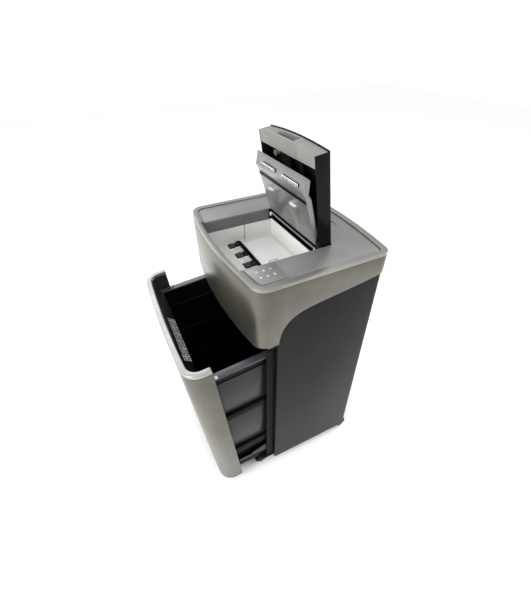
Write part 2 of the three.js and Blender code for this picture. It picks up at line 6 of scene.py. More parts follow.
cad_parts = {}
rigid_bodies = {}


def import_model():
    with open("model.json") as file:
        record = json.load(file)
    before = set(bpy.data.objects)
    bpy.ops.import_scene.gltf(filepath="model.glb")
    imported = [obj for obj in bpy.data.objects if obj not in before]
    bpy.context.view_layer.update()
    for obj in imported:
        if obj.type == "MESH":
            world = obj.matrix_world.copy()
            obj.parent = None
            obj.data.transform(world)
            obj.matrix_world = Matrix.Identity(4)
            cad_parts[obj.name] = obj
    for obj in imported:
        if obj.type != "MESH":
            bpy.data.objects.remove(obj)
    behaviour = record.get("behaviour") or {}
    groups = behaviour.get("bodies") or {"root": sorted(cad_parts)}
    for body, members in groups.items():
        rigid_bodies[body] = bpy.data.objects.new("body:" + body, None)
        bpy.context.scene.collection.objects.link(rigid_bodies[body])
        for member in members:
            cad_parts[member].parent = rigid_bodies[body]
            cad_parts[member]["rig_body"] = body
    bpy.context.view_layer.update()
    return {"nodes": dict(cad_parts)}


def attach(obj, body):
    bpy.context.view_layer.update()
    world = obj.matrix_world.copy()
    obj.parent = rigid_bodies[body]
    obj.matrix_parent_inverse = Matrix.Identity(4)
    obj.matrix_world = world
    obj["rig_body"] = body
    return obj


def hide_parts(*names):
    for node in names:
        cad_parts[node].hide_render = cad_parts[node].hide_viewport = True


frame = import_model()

mm = 0.001
halfTurn = math.pi

# the outline values repeat the frame's own, in millimetres; y counts from the side panels' front edge
body = {
    "half": 270, "front": -86, "frontBow": 18, "rear": 377, "rearBow": 20,
    "frontCorner": 44, "rearCorner": 30, "top": 925, "skirt": 717, "middle": 47.058,
}


# modelling, in millimetres
def placed(x, y, z):
    return Vector((x * mm, (y - body["middle"]) * mm, z * mm))


def deselectAll():
    if bpy.context.object and bpy.context.object.mode != "OBJECT":
        bpy.ops.object.mode_set(mode="OBJECT")
    bpy.ops.object.select_all(action="DESELECT")


def activate(piece):
    deselectAll()
    piece.select_set(True)
    bpy.context.view_layer.objects.active = piece


def applyModifier(piece, kind, **settings):
    activate(piece)
    modifier = piece.modifiers.new(kind.title(), kind)
    for key, value in settings.items():
        setattr(modifier, key, value)
    bpy.ops.object.modifier_apply(modifier=modifier.name)


def settle(piece, angle=35):
    # place, turn and size go into the mesh, and only real edges stay sharp
    activate(piece)
    bpy.ops.object.transform_apply(location=True, rotation=True, scale=True)
    bpy.ops.object.shade_smooth_by_angle(angle=math.radians(angle))
    return piece


def roundEdges(piece, width, segments=3, angle=40):
    applyModifier(piece, "BEVEL", width=width * mm, segments=segments, limit_method="ANGLE",
                  angle_limit=math.radians(angle), use_clamp_overlap=True)


def finishPiece(piece, name, bodyName, material, replaced=()):
    piece.name = name
    piece.data.name = name
    piece.data.materials.clear()
    piece.data.materials.append(material)
    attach(piece, bodyName)
    if replaced:
        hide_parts(*replaced)
    return piece


def arcPoints(x, y, radius, start, end, steps):
    turns = [math.radians(start + (end - start) * step / steps) for step in range(steps + 1)]
    return [(x + radius * math.cos(turn), y + radius * math.sin(turn)) for turn in turns]


def bowPoints(start, end, y, sag, steps):
    xs = [start + (end - start) * step / steps for step in range(1, steps)]
    return [(x, y + sag * (1 - (x / end) ** 2)) for x in xs]


def headPlan(inset, steps=14):
    side = body["half"] - inset
    front = body["front"] + body["frontBow"] + inset
    rear = body["rear"] - body["rearBow"] - inset
    bend = max(body["frontCorner"] - inset, 4)
    back = max(body["rearCorner"] - inset, 4)
    return [
        *arcPoints(-side + bend, front + bend, bend, 180, 262, steps),
        *bowPoints(-side + bend, side - bend, front, -body["frontBow"], 36),
        *arcPoints(side - bend, front + bend, bend, 278, 360, steps),
        *arcPoints(side - back, rear - back, back, 0, 82, steps),
        *bowPoints(side - back, -side + back, rear, body["rearBow"], 24),
        *arcPoints(-side + back, rear - back, back, 98, 180, steps),
    ]


def outlineWall(points, bottom, top, closed=True):
    # a ring whose corners take the outline's places, pulled up into a wall
    deselectAll()
    bpy.ops.mesh.primitive_circle_add(vertices=len(points), radius=0.2, fill_type="NOTHING")
    piece = bpy.context.object
    for vertex, (x, y) in zip(piece.data.vertices, points):
        vertex.co = placed(x, y, bottom)
    ends = {0, len(points) - 1}
    for edge in piece.data.edges:
        edge.select = not closed and set(edge.vertices) == ends
    bpy.ops.object.mode_set(mode="EDIT")
    if not closed:
        bpy.ops.mesh.select_mode(type="EDGE")
        bpy.ops.mesh.delete(type="EDGE")
    bpy.ops.mesh.select_all(action="SELECT")
    rise = {"value": (0, 0, (top - bottom) * mm)}
    bpy.ops.mesh.extrude_region_move(TRANSFORM_OT_translate=rise)
    bpy.ops.mesh.select_all(action="SELECT")
    bpy.ops.mesh.normals_make_consistent(inside=False)
    bpy.ops.object.mode_set(mode="OBJECT")
    return piece


def roundedBlock(name, low, high, radius=1.0, segments=2):
    # a block between two corners in millimetres, with rounded edges
    deselectAll()
    size = [b - a for a, b in zip(low, high)]
    centre = [(a + b) / 2 for a, b in zip(low, high)]
    centre[1] -= body["middle"]
    bpy.ops.mesh.primitive_cube_add(size=1, location=[value * mm for value in centre])
    piece = bpy.context.object
    piece.scale = [value * mm for value in size]
    bpy.ops.object.transform_apply(location=True, rotation=True, scale=True)
    piece.name = name
    roundEdges(piece, radius, segments)
    return settle(piece)


def joinPieces(pieces):
    activate(pieces[0])
    for piece in pieces[1:]:
        piece.select_set(True)
    bpy.ops.object.join()
    return bpy.context.object


# materials
def srgb(hexColour):
    parts = [int(hexColour[place:place + 2], 16) / 255 for place in (1, 3, 5)]
    linear = [part / 12.92 if part <= 0.04045 else ((part + 0.055) / 1.055) ** 2.4 for part in parts]
    return (*linear, 1.0)


def addNode(tree, kind, settings=None, inputs=None, links=None):
    node = tree.nodes.new(kind)
    for key, value in (settings or {}).items():
        setattr(node, key, value)
    for key, value in (inputs or {}).items():
        node.inputs[key].default_value = value
    for key, source in (links or {}).items():
        tree.links.new(source, node.inputs[key])
    return node


def surfaceFinish(name, look):
    # colour drifts between two tones, roughness drifts with it, and a fine grain lifts the surface
    material = bpy.data.materials.new(name)
    material.use_nodes = True
    tree = material.node_tree
    tree.nodes.clear()
    place = addNode(tree, "ShaderNodeTexCoord").outputs["Object"]
    stretch = addNode(tree, "ShaderNodeMapping", inputs={"Scale": look.get("stretch", (1, 1, 1))},
                      links={"Vector": place}).outputs["Vector"]
    grainScale = 1 / (look["grain"] * mm)
    drift = addNode(tree, "ShaderNodeTexNoise", inputs={"Scale": look.get("drift", 9), "Detail": 3},
                    links={"Vector": place})
    grain = addNode(tree, "ShaderNodeTexNoise", inputs={"Scale": grainScale, "Detail": 2, "Roughness": 0.6},
                    links={"Vector": stretch})
    blendTone = addNode(tree, "ShaderNodeMix", {"data_type": "FLOAT"}, {"Factor": look.get("fleck", 0.4)},
                        {"A": drift.outputs["Fac"], "B": grain.outputs["Fac"]})
    tones = addNode(tree, "ShaderNodeValToRGB", links={"Fac": blendTone.outputs["Result"]})
    tones.color_ramp.elements[0].position = 0.34
    tones.color_ramp.elements[0].color = srgb(look["dark"])
    tones.color_ramp.elements[1].position = 0.66
    tones.color_ramp.elements[1].color = srgb(look["light"])
    low, high = look["rough"]
    rough = addNode(tree, "ShaderNodeMapRange", inputs={"To Min": low, "To Max": high},
                    links={"Value": blendTone.outputs["Result"]})
    bump = addNode(tree, "ShaderNodeBump", inputs={"Strength": look["bump"], "Distance": look["depth"] * mm},
                   links={"Height": grain.outputs["Fac"]})
    shader = addNode(tree, "ShaderNodeBsdfPrincipled", inputs={
        "Metallic": look.get("metal", 0.0), "Coat Weight": look.get("coat", 0.0),
        "Coat Roughness": 0.15, "Specular IOR Level": look.get("spec", 0.5)},
        links={"Base Color": tones.outputs["Color"], "Roughness": rough.outputs["Result"],
               "Normal": bump.outputs["Normal"]})
    addNode(tree, "ShaderNodeOutputMaterial", links={"Surface": shader.outputs["BSDF"]})
    return material


def speckledPlastic(name, look):
    # recycled ABS: dark and pale specks a millimetre or two wide in a grey ground
    material = surfaceFinish(name, look)
    tree = material.node_tree
    place = next(node for node in tree.nodes if node.type == "TEX_COORD").outputs["Object"]
    shader = next(node for node in tree.nodes if node.type == "BSDF_PRINCIPLED")
    ground = shader.inputs["Base Color"].links[0].from_socket
    specks = addNode(tree, "ShaderNodeTexVoronoi", inputs={"Scale": 1 / (look["speck"] * mm)},
                     links={"Vector": place})
    fade = {"From Min": 0.13, "From Max": 0.2, "To Min": 0.8, "To Max": 0}
    edge = addNode(tree, "ShaderNodeMapRange", inputs=fade, links={"Value": specks.outputs["Distance"]})
    # a colour mix keeps its two colours in sockets 6 and 7 and gives the result on socket 2
    mixed = addNode(tree, "ShaderNodeMix", {"data_type": "RGBA"}, {7: srgb(look["speckColour"])},
                    {0: edge.outputs["Result"], 6: ground})
    tree.links.new(mixed.outputs[2], shader.inputs["Base Color"])
    return material


finishes = {
    # aluminium-flake lacquer, sprayed: soft silver with a fine sparkle
    "flakeLacquer": dict(dark="#55534b", light="#68665c", metal=0.7, rough=(0.3, 0.38), grain=1.1, bump=0.12,
                         depth=0.05, coat=0.25, fleck=0.3),
    # the same lacquer where it faces up on the rim, painted a little paler: painted light on the upward face
    "rimLacquerPaintedLight": dict(dark="#7c7b77", light="#92918c", metal=0.65, rough=(0.26, 0.34), grain=1.1, bump=0.1,
                       depth=0.05, coat=0.3, fleck=0.3),
    # a smoother lacquer on the drawer's lip, painted paler: painted highlight along its rounded top edge, and
    # on the lid grip
    "paleLacquerPaintedHighlight": dict(dark="#8e8e8d", light="#a8a8a6", metal=0.5, rough=(0.24, 0.34), grain=0.9, bump=0.08,
                        depth=0.04, coat=0.35, fleck=0.25),
    # satin lacquer on moulded ABS: blue-grey deck, slightly pebbled
    "deckLacquer": dict(dark="#7c7d7c", light="#8d8d8b", metal=0.5, rough=(0.34, 0.46), grain=0.9, bump=0.14,
                        depth=0.05, coat=0.1, fleck=0.3),
    # powder coat on sheet steel: charcoal with an orange-peel surface
    "charcoalPowderCoat": dict(dark="#121213", light="#1c1c1c", spec=0.2, rough=(0.42, 0.55), grain=1.6,
                               bump=0.3, depth=0.12, fleck=0.35),
    # spark-eroded moulded ABS: black, matt and faintly grained
    "blackTexturedAbs": dict(dark="#040405", light="#0c0c0d", spec=0.1, rough=(0.45, 0.62), grain=1.3,
                             bump=0.35, depth=0.1, fleck=0.4),
    # polished moulded ABS: black with soft highlights
    "blackPolishedAbs": dict(dark="#050506", light="#0c0c0e", spec=0.15, rough=(0.2, 0.32), grain=3.0,
                             bump=0.08, depth=0.05, coat=0.06, fleck=0.2),
    # moulded ABS: mid grey wall of the bay
    "greyAbs": dict(dark="#5d6062", light="#777a7b", rough=(0.42, 0.56), grain=1.2, bump=0.25, depth=0.08),
    # moulded ABS: pale grey, clean
    "paleAbs": dict(dark="#cfd0cc", light="#e0e1dd", rough=(0.38, 0.5), grain=1.2, bump=0.15, depth=0.06),
    # moulded ABS: white
    "whiteAbs": dict(dark="#e6e6e4", light="#f4f4f2", rough=(0.32, 0.46), grain=1.2, bump=0.12, depth=0.05),
    # polished glass-filled nylon: violet-grey rail with long reflections
    "greyNylon": dict(dark="#333238", light="#4b4a51", rough=(0.2, 0.32), grain=2.0, bump=0.1,
                      depth=0.05, coat=0.2),
    # smooth moulded ABS: dark grey side insets of the bin
    "insetAbs": dict(dark="#1d1e1f", light="#292a2b", spec=0.25, rough=(0.24, 0.36), grain=2.2, bump=0.08,
                     depth=0.05, coat=0.05),
    # rolled steel, zinc plated: fine lines along x
    "zincSteel": dict(dark="#83868a", light="#b0b3b6", metal=1.0, rough=(0.28, 0.42), grain=1.0, bump=0.2,
                      depth=0.03, stretch=(0.05, 1, 1)),
    # hardened tool steel, turned and oiled
    "toolSteel": dict(dark="#55585c", light="#8c9094", metal=1.0, rough=(0.22, 0.4), grain=1.0, bump=0.25,
                      depth=0.04, stretch=(1, 0.2, 0.2)),
    # vulcanised rubber: dull, dusty black-grey
    "rubber": dict(dark="#262627", light="#414142", rough=(0.7, 0.88), grain=1.4, bump=0.4, depth=0.12),
    # runners of dark phosphated steel
    "runnerSteel": dict(dark="#2c2e30", light="#424547", metal=0.8, rough=(0.34, 0.46), grain=1.0, bump=0.15,
                        depth=0.03, stretch=(0.05, 1, 1)),
    # moulded elastomer: grey bumper
    "greyRubber": dict(dark="#6a6a68", light="#848482", rough=(0.6, 0.75), grain=1.4, bump=0.3, depth=0.1),
    # solder-masked glass laminate: green board
    "greenLaminate": dict(dark="#174429", light="#2a6b45", rough=(0.3, 0.45), grain=1.6, bump=0.2,
                          depth=0.1, coat=0.3),
    # recycled ABS: grey ground with specks
    "speckledAbs": dict(dark="#7a7a76", light="#8e8e89", rough=(0.5, 0.68), grain=1.2, bump=0.3, depth=0.1,
                        speck=5.5, speckColour="#2f2f2d"),
    # satin aluminium-effect lacquer on the pressure plate, with vertical drift
    "plateLacquer": dict(dark="#7c7f7c", light="#a6a9a6", metal=0.7, rough=(0.24, 0.38), grain=1.2, bump=0.1,
                         depth=0.04, coat=0.2, stretch=(1, 0.3, 0.3)),
    # screen-printed ink
    "darkInk": dict(dark="#3b3b3b", light="#4c4c4c", rough=(0.5, 0.6), grain=1.0, bump=0.1, depth=0.02),
    "paleInk": dict(dark="#d2d2d0", light="#ebebe8", rough=(0.45, 0.55), grain=1.0, bump=0.1, depth=0.02),
}
materials = {}
for finishName, finishLook in finishes.items():
    maker = speckledPlastic if "speck" in finishLook else surfaceFinish
    materials[finishName] = maker(finishName, finishLook)
print("materials made:", len(materials))


# the frame's own nodes: which finish each has
nodeFinish = {
    "blackTexturedAbs": ["base_plate", "drawer_sleeve_left", "drawer_sleeve_right", "head_frame",
                         "stripper_comb_front", "stripper_comb_rear", "lid_liner", "drawer_liner", "bin_tub"],
    "charcoalPowderCoat": ["side_panel_left", "side_panel_right", "back_panel", "motor"],
    "blackPolishedAbs": ["power_inlet", "power_switch", "slot_frame", "lid_shell"],
    "flakeLacquer": ["head_shell", "drawer_front"],
    "deckLacquer": ["deck", "control_panel"],
    "greyAbs": ["bay_collar"],
    "paleAbs": ["paper_tray"],
    # the lid grip is painted pale as a painted highlight in its recess
    "paleLacquerPaintedHighlight": ["top_rim", "lid_grip"],
    "whiteAbs": ["bay_pad", "reduction_gear", "feed_roller_gear", "plate_teeth_left", "plate_teeth_right"],
    "zincSteel": ["cutter_tray", "cutter_plate_left", "cutter_plate_right", "lid_hinge_pin"],
    "runnerSteel": ["middle_rail_left", "middle_rail_right", "inner_rail_left", "inner_rail_right"],
    "toolSteel": ["cutter_drum_front", "cutter_drum_rear", "drum_gear_front", "drum_gear_rear",
                  "drum_gear_left", "motor_pinion"],
    "rubber": ["feed_roller"],
    "greyRubber": ["lid_bumper"],
    "greenLaminate": ["circuit_board"],
    "speckledAbs": ["lid_block_left", "lid_block_right"],
    "plateLacquer": ["pressure_plate"],
    "greyNylon": ["bin_rim"],
}
for corner in ("front_left", "front_right", "rear_left", "rear_right"):
    nodeFinish["blackTexturedAbs"].append(f"caster_{corner}_fork")
    nodeFinish["rubber"].append(f"caster_{corner}_wheel")

# how wide the rounding of each softened node's edges is
edgeWidth = {"base_plate": 3, "side_panel_left": 1.5, "side_panel_right": 1.5, "back_panel": 0.8, "deck": 0.8,
             "lid_shell": 1.2, "lid_block_left": 1.2, "lid_block_right": 1.2, "bay_pad": 1.2, "bin_tub": 1.5,
             "bin_rim": 1.5, "paper_tray": 0.8, "bay_collar": 0.8, "control_panel": 0.6, "power_switch": 0.8,
             "drawer_liner": 1.5, "motor": 1.5, "pressure_plate": 0.5, "lid_grip": 0.8}


# these nodes have finer pieces standing in for them further down
bareNodes = ("head_shell", "top_rim", "drawer_front", "bin_rim", "plate_teeth_left", "plate_teeth_right")


def dressNodes():
    # a node's own mesh stays as it is; a merged and bevelled copy stands in for it
    for finish, nodes in nodeFinish.items():
        for name in nodes:
            node = frame["nodes"][name]
            node.data.materials.clear()
            node.data.materials.append(materials[finish])
            if name in bareNodes:
                continue
            copy = bpy.data.objects.new(name + "Skin", node.data.copy())
            bpy.context.scene.collection.objects.link(copy)
            activate(copy)
            bpy.ops.object.mode_set(mode="EDIT")
            bpy.ops.mesh.select_all(action="SELECT")
            bpy.ops.mesh.remove_doubles(threshold=0.00002)
            bpy.ops.object.mode_set(mode="OBJECT")
            if name in edgeWidth:
                roundEdges(copy, edgeWidth[name], 2)
            settle(copy, 35)
            finishPiece(copy, name + "Skin", node["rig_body"], materials[finish], [name])
    print("frame nodes dressed")


dressNodes()


# where the drawer, the lid and the pressure plate turn, as (y, z)
pivots = {
    "drawerPin": (20, 105), "drawerTravel": 147, "drawerLean": 0.0826,
    "plateFoot": (175, 936), "plateLean": math.radians(16.66),
    "lipFoot": (125, 1090), "lipLean": math.radians(-9.93),
}


def turnAbout(piece, angle, y, z, shift=0):
    centre = placed(0, y, z)
    turn = Matrix.Translation(centre) @ Matrix.Rotation(angle, 4, "X") @ Matrix.Translation(-centre)
    piece.matrix_world = Matrix.Translation((0, shift * mm, 0)) @ turn @ piece.matrix_world
    return settle(piece)


def leanOut(piece):
    y, z = pivots["drawerPin"]
    return turnAbout(piece, pivots["drawerLean"], y, z, -pivots["drawerTravel"])


def ontoPlate(piece):
    return turnAbout(piece, pivots["plateLean"], *pivots["plateFoot"])


def ontoLip(piece):
    return turnAbout(piece, pivots["lipLean"], *pivots["lipFoot"])


def cutAway(piece, cutter):
    applyModifier(piece, "BOOLEAN", object=cutter, operation="DIFFERENCE", solver="EXACT")
    bpy.data.objects.remove(cutter)


head = {
    "wall": 3, "shellTop": 914.7, "rimBottom": 915, "rimWidth": 20, "rimRound": 3.2,
    "bayLeft": -150.3, "bayRight": 163.3, "bayRim": 12,
    # the skirt's lower edge as two cubic stretches in (y, z)
    "sweep": [[(1, 717), (6, 775), (30, 812), (105, 822)],
              [(105, 822), (200, 838), (300, 842), (397, 872)]],
}


def cubicPoints(stretch, steps):
    points = []
    for step in range(steps):
        t = step / steps
        weights = ((1 - t) ** 3, 3 * t * (1 - t) ** 2, 3 * t * t * (1 - t), t ** 3)
        points.append(tuple(sum(w * p[axis] for w, p in zip(weights, stretch)) for axis in (0, 1)))
    return points


def sidewaysSlab(points, halfWidth):
    # a flat outline in (y, z), pulled through the whole width
    deselectAll()
    bpy.ops.mesh.primitive_circle_add(vertices=len(points), radius=0.2, fill_type="NGON")
    slab = bpy.context.object
    for vertex, (y, z) in zip(slab.data.vertices, points):
        vertex.co = placed(-halfWidth, y, z)
    bpy.ops.object.mode_set(mode="EDIT")
    bpy.ops.mesh.select_all(action="SELECT")
    bpy.ops.mesh.extrude_region_move(TRANSFORM_OT_translate={"value": (2 * halfWidth * mm, 0, 0)})
    bpy.ops.mesh.select_all(action="SELECT")
    bpy.ops.mesh.normals_make_consistent(inside=False)
    bpy.ops.object.mode_set(mode="OBJECT")
    return slab


def addHead():
    shell = outlineWall(headPlan(0), body["skirt"], head["shellTop"])
    applyModifier(shell, "SOLIDIFY", thickness=head["wall"] * mm, offset=-1, use_even_offset=True)
    sweep = [(1, 690)] + [point for stretch in head["sweep"] for point in cubicPoints(stretch, 22)]
    cutAway(shell, sidewaysSlab(sweep + [(397, 872), (397, 690)], 320))
    roundEdges(shell, 0.9, 2, 50)
    settle(shell, 30)
    finishPiece(shell, "headShell", "cabinet", materials["flakeLacquer"], ["head_shell"])

    rim = outlineWall(headPlan(0), head["rimBottom"], body["top"])
    applyModifier(rim, "SOLIDIFY", thickness=head["rimWidth"] * mm, offset=-1, use_even_offset=True)
    reach = body["half"] - body["frontCorner"]
    left, right = head["bayLeft"], head["bayRight"]
    front = []
    for step in range(25):
        x = left + (right - left) * step / 24
        front.append((x, body["front"] + head["bayRim"] + body["frontBow"] * (x / reach) ** 2))
    notch = uprightSlab(front + [(right, 0), (left, 0)], 905, 935)
    cutAway(rim, notch)
    roundEdges(rim, head["rimRound"], 4, 50)
    settle(rim, 30)
    # the rim takes the paler copy of the lacquer, painted light on its upward face
    finishPiece(rim, "topRim", "cabinet", materials["rimLacquerPaintedLight"], ["top_rim"])
    print("head ready")


def uprightSlab(points, bottom, top):
    deselectAll()
    bpy.ops.mesh.primitive_circle_add(vertices=len(points), radius=0.2, fill_type="NGON")
    slab = bpy.context.object
    for vertex, (x, y) in zip(slab.data.vertices, points):
        vertex.co = placed(x, y, bottom)
    bpy.ops.object.mode_set(mode="EDIT")
    bpy.ops.mesh.select_all(action="SELECT")
    bpy.ops.mesh.extrude_region_move(TRANSFORM_OT_translate={"value": (0, 0, (top - bottom) * mm)})
    bpy.ops.mesh.select_all(action="SELECT")
    bpy.ops.mesh.normals_make_consistent(inside=False)
    bpy.ops.object.mode_set(mode="OBJECT")
    return slab


drawer = {"half": 267, "front": -80, "bow": 6, "corner": 53, "end": -1.5, "bottom": 47, "top": 714, "skin": 4,
          "lipDepth": 14, "lipWidth": 18, "binFront": -58, "binRear": 296, "binTop": 645}


def drawerPlan(inset, end):
    side = drawer["half"] - inset
    front = drawer["front"] + inset
    bend = drawer["corner"] - inset
    return [
        (-side, end),
        *arcPoints(-side + bend, front + bend, bend, 180, 268, 18),
        *bowPoints(-side + bend, side - bend, front, -drawer["bow"], 24),
        *arcPoints(side - bend, front + bend, bend, 272, 360, 18),
        (side, end),
    ]


def addDrawerFront():
    skinPlan = drawerPlan(0, drawer["end"]) + drawerPlan(drawer["skin"], drawer["end"])[::-1]
    skin = uprightSlab(skinPlan, drawer["bottom"], drawer["top"] - drawer["lipDepth"])
    roundEdges(skin, 0.9, 2, 50)
    leanOut(skin)
    finishPiece(skin, "drawerSkin", "drawer", materials["flakeLacquer"], ["drawer_front"])

    # the lip's paler lacquer is a painted highlight along the drawer's rounded top edge
    lipPlan = drawerPlan(0, drawer["end"]) + drawerPlan(drawer["lipWidth"], drawer["end"])[::-1]
    lip = uprightSlab(lipPlan, drawer["top"] - drawer["lipDepth"], drawer["top"])
    roundEdges(lip, 3.2, 4, 50)
    leanOut(lip)
    finishPiece(lip, "drawerLip", "drawer", materials["paleLacquerPaintedHighlight"])


wasteBin = {
    "rimDrop": 5.7, "holeHalf": 222, "railHalf": 247, "barDepth": (2, 8),
    "insetX": (230.3, 232.5), "insetBands": [(206, 388), (438, 598)], "insetSetback": 12,
    "ribX": (222.5, 225.7), "ribTall": 9, "ribHeights": [240, 420, 560], "ribSetback": 6,
    "clipX": (237, 246.8), "clipY": (2, 11), "clipZ": (0.2, 5),
}
carriage = {"y": (-197, 3), "half": 241.5, "floor": (63, 66), "flangeInner": 239.5, "flangeZ": (66.2, 98)}


def sideBlock(side, x, y, z, radius, segments=2):
    # a block on the left (-1) or the right (1), between two distances from the middle
    low, high = sorted((side * x[0], side * x[1]))
    return roundedBlock("sideBlock", (low, y[0], z[0]), (high, y[1], z[1]), radius, segments)


def addBinDetail():
    front, rear, top = (drawer[key] for key in ("binFront", "binRear", "binTop"))
    hole, rim = wasteBin["holeHalf"], (top - wasteBin["rimDrop"], top)
    near, far = wasteBin["barDepth"]
    bars = [roundedBlock("bar", (-hole, front + near, rim[0]), (hole, front + far, top), 1),
            roundedBlock("bar", (-hole, rear - far, rim[0]), (hole, rear, top), 1)]
    finishPiece(leanOut(joinPieces(bars)), "binCrossBars", "drawer", materials["blackTexturedAbs"],
                ["bin_rim"])
    setback = wasteBin["insetSetback"]
    insetY = (front + setback, rear - setback)
    ribY = (front + wasteBin["ribSetback"], rear - wasteBin["ribSetback"])
    clipZ = [top + value for value in wasteBin["clipZ"]]
    for side, hand in ((-1, "Left"), (1, "Right")):
        rail = sideBlock(side, (hole + 0.3, wasteBin["railHalf"]), (front + near, rear), rim, 2, 3)
        finishPiece(leanOut(rail), f"binRail{hand}", "drawer", materials["greyNylon"])
        insets = [sideBlock(side, wasteBin["insetX"], insetY, band, 0.8) for band in wasteBin["insetBands"]]
        finishPiece(leanOut(joinPieces(insets)), f"binInset{hand}", "drawer", materials["insetAbs"])
        ribs = [sideBlock(side, wasteBin["ribX"], ribY, (height, height + wasteBin["ribTall"]), 1.2)
                for height in wasteBin["ribHeights"]]
        finishPiece(leanOut(joinPieces(ribs)), f"binRibs{hand}", "drawer", materials["insetAbs"])
        clip = sideBlock(side, wasteBin["clipX"], wasteBin["clipY"], clipZ, 1.5)
        finishPiece(leanOut(clip), f"binClip{hand}", "drawer", materials["paleAbs"])
    # a shallow black tray hangs between the runners under the bin
    half, (near, far) = carriage["half"], carriage["y"]
    low, high = carriage["floor"]
    tray = [roundedBlock("tray", (-half, near, low), (half, far, high), 0.8)]
    for side in (-1, 1):
        tray.append(sideBlock(side, (carriage["flangeInner"], half), (near, far), carriage["flangeZ"], 0.6))
    finishPiece(joinPieces(tray), "carriageTray", "carriage", materials["blackTexturedAbs"])
    print("drawer ready")


# pictograms are made of flat bars, rings and arrows
def markRing(x, y, z, radius, thick=0.9):
    deselectAll()
    bpy.ops.mesh.primitive_torus_add(major_radius=radius * mm, minor_radius=thick * mm / 2, major_segments=28,
                                     minor_segments=6, location=placed(x, y, z))
    return settle(bpy.context.object)


def markArrow(x, y, z, radius, turn):
    deselectAll()
    bpy.ops.mesh.primitive_cylinder_add(vertices=3, radius=radius * mm, depth=0.5 * mm, rotation=(0, 0, turn),
                                        location=placed(x, y, z))
    piece = bpy.context.object
    roundEdges(piece, 0.15, 2)
    return settle(piece)


def markBar(x, y, z, width, depth):
    low = (x - width / 2, y - depth / 2, z - 0.25)
    return roundedBlock("bar", low, (x + width / 2, y + depth / 2, z + 0.25), 0.15)


def markFrame(x, y, z, reach, long, line):
    # four bars round an oblong: how far out they stand, and how long they are
    return [markBar(x, y - reach[1], z, long[0], line), markBar(x, y + reach[1], z, long[0], line),
            markBar(x - reach[0], y, z, line, long[1]), markBar(x + reach[0], y, z, line, long[1])]


panelMarks = {"x": (188, 214), "y": (-26, -6, 14), "z": 923.2, "size": 4.2, "line": 1.2}


def addPanelMarks():
    z, size, line = panelMarks["z"], panelMarks["size"], panelMarks["line"]
    (left, right), (near, middle, far) = panelMarks["x"], panelMarks["y"]
    marks = [
        markRing(left, near, z, size), markBar(left, near + size * 0.7, z, 1, 5),
        markArrow(right, near, z, size, 0), markArrow(left, middle, z, size, halfTurn),
        markBar(right - 2, middle, z, 1.4, 8), markBar(right + 2, middle, z, 1.4, 8),
        markRing(left, far, z, size * 0.55),
        markBar(right, far - 2, z, 9, line), markBar(right, far + 2, z, 9, line),
    ]
    finishPiece(joinPieces(marks), "panelMarks", "cabinet", materials["paleInk"])


padMarks = {"at": (38, 108, 828.15), "line": 2.4, "reach": (12, 14), "long": (26, 28), "arrow": 7,
            "bars": (24, 31), "barLong": 16}


def addPadMarks():
    # an upright sheet with an arrow in it, and two bars beside it
    x, y, z = padMarks["at"]
    line, barLong = padMarks["line"], padMarks["barLong"]
    marks = markFrame(x, y, z, padMarks["reach"], padMarks["long"], line)
    marks.append(markArrow(x, y, z, padMarks["arrow"], halfTurn))
    marks += [markBar(x + offset, y - barLong / 2, z, line, barLong) for offset in padMarks["bars"]]
    finishPiece(joinPieces(marks), "padMarks", "cabinet", materials["darkInk"])


ledge = {"slope": -45, "y": -47, "z": 668, "reach": 33, "half": 205, "thick": 1.4, "columns": 6, "pitch": 34,
         "rowGap": 14, "first": -24, "frameReach": (14, 5.2), "frameLong": (28, 11), "line": 1.3, "ring": 3.2,
         "arrow": 4}


def addLedgeMarks():
    # a black ledge slopes from the drawer front down to the bin, with two rows of framed marks on it
    reach, half, z = ledge["reach"], ledge["half"], 0.3
    flat = Matrix.Translation((0, body["middle"] * mm, 0))
    place = Matrix.Translation((0, (ledge["y"] - body["middle"]) * mm, ledge["z"] * mm))
    stand = place @ Matrix.Rotation(math.radians(ledge["slope"]), 4, "X")
    board = roundedBlock("board", (-half, -reach / 2, -ledge["thick"]), (half, reach / 2, 0), 0.6)
    marks = []
    for column in range(ledge["columns"]):
        for row in range(2):
            x, y = ledge["first"] + column * ledge["pitch"], (row - 0.5) * ledge["rowGap"]
            marks += markFrame(x, y, z, ledge["frameReach"], ledge["frameLong"], ledge["line"])
            marks.append(markBar(x + 7, y, z, 7, 1.6))
            if (row + column) % 2:
                marks.append(markRing(x - 4, y, z, ledge["ring"], 1.4))
            else:
                marks.append(markArrow(x - 4, y, z, ledge["arrow"], row * 2.1))
    sheet = joinPieces(marks)
    for piece in (board, sheet):
        piece.matrix_world = stand @ flat @ piece.matrix_world
        settle(piece)
        leanOut(piece)
    finishPiece(board, "drawerLedge", "drawer", materials["blackTexturedAbs"])
    finishPiece(sheet, "ledgeMarks", "drawer", materials["paleInk"])


bay = {
    "floor": 824, "slot": 55, "rollers": (-124, -56, 10, 77), "left": -147, "right": 160,
    "tabHalf": 15, "strips": [(46, 50.5), (63, 65.6)], "stripX": (-142, 149),
    "toothHalf": 3, "toothMargin": 22, "ribY": (84, 86), "ribZ": (826, 916),
    "knuckleX": (-133, 143), "knuckleY": (178, 186), "knuckleZ": (902, 915),
}


